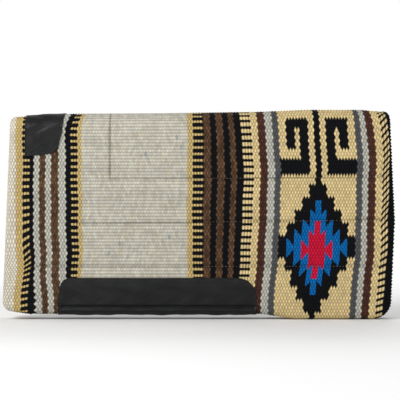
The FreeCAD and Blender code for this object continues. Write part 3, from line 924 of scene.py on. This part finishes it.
def make_layer(name, side_name, inset, spacing, back, face, material, pile=0.0):
    side = SIDES[side_name]
    radius = abs(face - back) / 2
    line = edge_line(PAD_EDGE, PAD_CORNERS, inset + radius)
    box = (-RIDGE_HALF - FRONT_FLARE, RIDGE_HALF + REAR_BULGE, -FOLD_LENGTH, REAR_DROP)
    plan, height, faces = slab(line, spacing, box, radius)
    x, t = plan.T
    r = (face + back) / 2 + (face - back) / 2 * height
    if pile:
        r = r - pile * tufts(x, t) * np.clip(height, 0, 1)
    points = bend(x, np.maximum(t, -FOLD_LENGTH), r, side)
    return make_piece(name, points, faces, side if face > back else -side, material)


liners = {name: make_layer(name + "_fleece_liner", name, LINER_INSET, LINER_GRID, LINER_BACK,
                           LINER_FACE, FLEECE, PILE) for name in SIDES}
cores = {name: make_layer(name + "_felt_core", name, CORE_INSET, CORE_GRID, CORE_BACK,
                          CORE_FACE, FELT) for name in SIDES}
for piece in (*liners.values(), *cores.values()):
    print(piece.name, len(piece.data.polygons), "faces")

# %% [markdown]
# ## Stitches
# A seam is the same small stitch again and again along a line, which is work for Geometry Nodes.
# The tree takes a chain of points, spaces stitches along it, and turns each to follow the line.

# %% Thread material
TWIST_MM = 0.625


def thread(name, hex_colour, roughness):
    material, tree = new_material(name)
    place = node(tree, "ShaderNodeTexCoord").outputs["Object"]
    twist = node(tree, "ShaderNodeTexNoise", {"Vector": place, "Scale": 1000 / TWIST_MM,
                 "Detail": 2})
    tone = node(tree, "ShaderNodeMix", {"Factor": twist.outputs["Fac"]}, data_type="RGBA")
    base = linear(hex_colour)
    tone.inputs[6].default_value = (*[c * 0.7 for c in base], 1)
    tone.inputs[7].default_value = (*[min(1, c * 1.3) for c in base], 1)
    shader = node(tree, "ShaderNodeBsdfPrincipled", {"Base Color": tone.outputs[2],
                  "Roughness": roughness})
    node(tree, "ShaderNodeOutputMaterial", {"Surface": shader.outputs[0]})
    return material


BLACK_THREAD = thread("bonded nylon thread, black", "1B1C1E", 0.5)
QUILT_THREAD = thread("waxed cotton thread, khaki", "6A6252", 0.8)
CREAM_THREAD = thread("waxed cotton thread, cream", "D8CDB2", 0.75)

# %% The stitch tree
FINE_PITCH, STITCH_GAP, THREAD_RADIUS = 0.0058, 0.0016, 0.00055


def stitch_tree():
    tree = bpy.data.node_groups.new("row of stitches", "GeometryNodeTree")
    sockets = tree.interface
    sockets.new_socket("Geometry", in_out="INPUT", socket_type="NodeSocketGeometry")
    for name, value in (("Pitch", FINE_PITCH), ("Length", FINE_PITCH - STITCH_GAP),
                        ("Thread Radius", THREAD_RADIUS)):
        sockets.new_socket(name, in_out="INPUT", socket_type="NodeSocketFloat").default_value = \
            value
    sockets.new_socket("Thread", in_out="INPUT", socket_type="NodeSocketMaterial")
    sockets.new_socket("Geometry", in_out="OUTPUT", socket_type="NodeSocketGeometry")
    given = node(tree, "NodeGroupInput").outputs
    line = node(tree, "GeometryNodeMeshToCurve", {"Mesh": given["Geometry"]})
    spaced = node(tree, "GeometryNodeResampleCurve", {"Curve": line.outputs[0],
                  "Length": given["Pitch"]}, mode="LENGTH")
    tangent = node(tree, "GeometryNodeInputTangent")
    turn = node(tree, "FunctionNodeAlignRotationToVector", {"Vector": tangent.outputs[0]},
                axis="X")
    ball = node(tree, "GeometryNodeMeshUVSphere", {"Segments": 7, "Rings": 5, "Radius": 1.0})
    half = node(tree, "ShaderNodeMath", {0: given["Length"], 1: 0.5}, operation="MULTIPLY")
    size = node(tree, "ShaderNodeCombineXYZ", {0: half.outputs[0], 1: given["Thread Radius"],
                2: given["Thread Radius"]})
    placed = node(tree, "GeometryNodeInstanceOnPoints", {"Points": spaced.outputs[0],
                  "Instance": ball.outputs[0], "Rotation": turn.outputs[0],
                  "Scale": size.outputs[0]})
    real = node(tree, "GeometryNodeRealizeInstances", {"Geometry": placed.outputs[0]})
    dyed = node(tree, "GeometryNodeSetMaterial", {"Geometry": real.outputs[0],
                "Material": given["Thread"]})
    node(tree, "NodeGroupOutput", {"Geometry": dyed.outputs[0]})
    return tree


STITCHES = stitch_tree()


def sew(name, chains, material, pitch):
    """Stitches along chains of points, as one plain mesh with nothing live left on it."""
    points, edges = [], []
    for chain in chains:
        edges += [(len(points) + k, len(points) + k + 1) for k in range(len(chain) - 1)]
        points += chain.tolist()
    guide = bpy.data.meshes.new(name + "_line")
    guide.from_pydata(points, edges, [])
    row = bpy.data.objects.new(name, guide)
    bpy.context.scene.collection.objects.link(row)
    live = row.modifiers.new("stitches", "NODES")
    live.node_group = STITCHES
    inputs = {item.name: item.identifier for item in STITCHES.interface.items_tree
              if item.in_out == "INPUT"}
    live[inputs["Thread"]] = material
    live[inputs["Pitch"]] = pitch
    live[inputs["Length"]] = pitch - STITCH_GAP
    live[inputs["Thread Radius"]] = THREAD_RADIUS
    seen = row.evaluated_get(bpy.context.evaluated_depsgraph_get())
    mesh = bpy.data.meshes.new_from_object(seen)
    row.modifiers.clear()
    row.data = mesh
    mesh.polygons.foreach_set("use_smooth", np.ones(len(mesh.polygons), bool))
    return row


# %% Sew every seam
HEM_PITCH, QUILT_PITCH = 0.009, 0.0075
HEM_STITCH_REACH = 0.93
THREAD_LIFT, THREAD_SUNK = 0.0004, 0.0004
CREASE_MARGIN = 0.006


def chain_between(start, end, step=0.003):
    count = max(2, int(math.dist(start, end) / step))
    return np.stack([np.linspace(start[k], end[k], count) for k in (0, 1)], 1)


def on_face(plan, lift, side):
    return on_blanket(plan[:, 0], plan[:, 1], lift, side)


stitches = {}
on_leather = LEATHER_BASE + LEATHER_THICKNESS - THREAD_SUNK
for side_name, side in SIDES.items():
    hem = edge_line(PAD_EDGE, PAD_CORNERS, ROLL)
    past = hem + past_edge(roll_line, hem)[2] * HEM_TURN * ROLL * HEM_STITCH_REACH
    rows = {
        "wither_stitching": ([edge_line(WITHER_EDGE, {2: WITHER_CORNER}, HALF + EDGE_MARGIN)],
                             on_leather, BLACK_THREAD, FINE_PITCH),
        "wear_stitching": ([edge_line(WEAR_EDGE, WEAR_CORNERS, HALF + EDGE_MARGIN),
                            chain_between((wear_low.x + CREASE_MARGIN, CREASE_T),
                                          (wear_high.x - CREASE_MARGIN, CREASE_T))],
                           on_leather, BLACK_THREAD, FINE_PITCH),
        "hem_stitching": ([past], THREAD_LIFT, CREAM_THREAD, HEM_PITCH)}
    for seam, ends in SEAMS.items():
        rows[seam] = ([chain_between(*ends)], THREAD_LIFT, QUILT_THREAD, QUILT_PITCH)
    for seam, (chains, lift, material, pitch) in rows.items():
        name = f"{side_name}_{seam}_stitches"
        stitches[side_name, seam] = sew(name, [on_face(c, lift, side) for c in chains],
                                        material, pitch)
        print(name, len(stitches[side_name, seam].data.polygons), "faces")

# %% [markdown]
# ## Hand the pieces to the frame
# Each piece hides the CAD nodes that it stands for. Pieces over the spine are baked in place, and
# the rest ride on their side.


def with_ridge(side_name, part):
    """The CAD nodes that a half stands for; the near half also stands for the ridge's piece."""
    return [f"{side_name}_{part}"] + ([f"ridge_{part}"] if side_name == "near" else [])


for side_name in SIDES:
    blanket = blankets[side_name]
    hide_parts(*with_ridge(side_name, "blanket"))
    hinge_fold(blanket)
    for piece, part, slot, fill in ((liners[side_name], "liner", "fleece", 0.3),
                                    (cores[side_name], "core", "felt", 0.8)):
        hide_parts(*with_ridge(side_name, part))
        hinge_fold(piece)
    wither = leathers[side_name + "_wither_wear_leather"]
    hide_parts(*with_ridge(side_name, "wither_leather"))
    hinge_fold(wither)
    wear = leathers[side_name + "_edge_wear_leather"]
    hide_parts(side_name + "_wear_leather")
    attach(wear, side_name + "_side")
    for part, slot, over_spine in (("wither_stitching", "black_thread", True),
                                   ("wear_stitching", "black_thread", False),
                                   ("hem_stitching", "cream_thread", True),
                                   ("cross_seam", "quilting_thread", True),
                                   ("upper_quilting", "quilting_thread", False),
                                   ("middle_quilting", "quilting_thread", False),
                                   ("lower_quilting", "quilting_thread", False)):
        piece = stitches[side_name, part]
        both = over_spine and part != "hem_stitching"
        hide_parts(*(with_ridge(side_name, part) if both else [f"{side_name}_{part}"]))
        if over_spine:
            hinge_fold(piece)
        else:
            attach(piece, side_name + "_side")

# %% [markdown]
# ## Studio
# A plain pale floor just under the bottom edge, a white surround, and soft lights: a large key
# from the upper left that rakes the weave, a fill from the right, a small low gleam for the
# leather and one from above and behind. The Standard view transform shows each yarn near its
# hex colour and leaves the surround white.

# %% Floor, lights and camera
SKY_LIGHT = 0.50
FLOOR_GAP, FLOOR_REACH = 0.004, 6
FADE_FROM, FADE_TO = 0.6, 1.8


def studio():
    material, tree = new_material("matt studio paper")
    place = node(tree, "ShaderNodeTexCoord").outputs["Object"]
    away = node(tree, "ShaderNodeVectorMath", {0: place}, operation="LENGTH").outputs["Value"]
    fade = node(tree, "ShaderNodeMapRange", {"Value": away, "From Min": FADE_FROM,
                "From Max": FADE_TO}, interpolation_type="SMOOTHSTEP")
    paper = node(tree, "ShaderNodeBsdfPrincipled", {"Base Color": (0.9, 0.9, 0.9, 1),
                 "Roughness": 0.9})
    sweep = node(tree, "ShaderNodeEmission", {"Strength": 1.0})
    mixed = node(tree, "ShaderNodeMixShader", {"Fac": fade.outputs[0], 1: paper.outputs[0],
                 2: sweep.outputs[0]})
    node(tree, "ShaderNodeOutputMaterial", {"Surface": mixed.outputs[0]})
    floor_z = cad_box[0].z - FLOOR_GAP
    corners = [(x * FLOOR_REACH, y * FLOOR_REACH, floor_z)
               for x, y in ((-1, -1), (1, -1), (1, 1), (-1, 1))]
    mesh = bpy.data.meshes.new("studio_floor")
    mesh.from_pydata(corners, [], [(0, 1, 2, 3)])
    mesh.materials.append(material)
    floor = bpy.data.objects.new("studio_floor", mesh)
    bpy.context.scene.collection.objects.link(floor)
    world = bpy.data.worlds.new("white surround")
    world.use_nodes = True
    tree = world.node_tree
    tree.nodes.clear()
    seen = node(tree, "ShaderNodeLightPath").outputs["Is Camera Ray"]
    glow = node(tree, "ShaderNodeMapRange", {"Value": seen, "To Min": SKY_LIGHT, "To Max": 1.0})
    white = node(tree, "ShaderNodeBackground", {"Strength": glow.outputs[0]})
    white.inputs["Color"].default_value = (1, 1, 1, 1)
    node(tree, "ShaderNodeOutputWorld", {"Surface": white.outputs[0]})
    bpy.context.scene.world = world
    bpy.context.scene.view_settings.view_transform = "Standard"


def soft_light(name, place, target, size, power):
    lamp = bpy.data.lights.new(name, "AREA")
    lamp.shape = "RECTANGLE"
    lamp.size, lamp.size_y = size
    lamp.energy = power
    light = bpy.data.objects.new(name, lamp)
    light.location = place
    light.rotation_euler = (Vector(target) - Vector(place)).to_track_quat("-Z", "Y").to_euler()
    bpy.context.scene.collection.objects.link(light)


studio()
soft_light("key", (-1.6, -1.7, 1.5), (0, 0, -0.2), (1.0, 1.0), 45)
soft_light("fill", (1.9, -2.2, 0.4), (0, 0, -0.2), (1.6, 1.6), 14)
soft_light("gleam", (-0.95, -2.7, -0.05), (-0.2, 0, -0.35), (0.35, 0.35), 8)
soft_light("back", (0.4, 1.8, 1.6), (0, 0, -0.2), (1.4, 1.0), 18)

CAMERA_DISTANCE = 3.0
VIEW_WIDTH = 0.900
PICTURE_MIDDLE = Vector((0, -OUTER, -0.1729))
camera = bpy.data.objects.new("camera", bpy.data.cameras.new("camera"))
camera.data.sensor_width = 36
camera.data.lens = 36 * CAMERA_DISTANCE / VIEW_WIDTH
camera.location = PICTURE_MIDDLE - Vector((0, CAMERA_DISTANCE, 0))
camera.rotation_euler = (math.pi / 2, 0, 0)
bpy.context.scene.collection.objects.link(camera)
bpy.context.scene.camera = camera
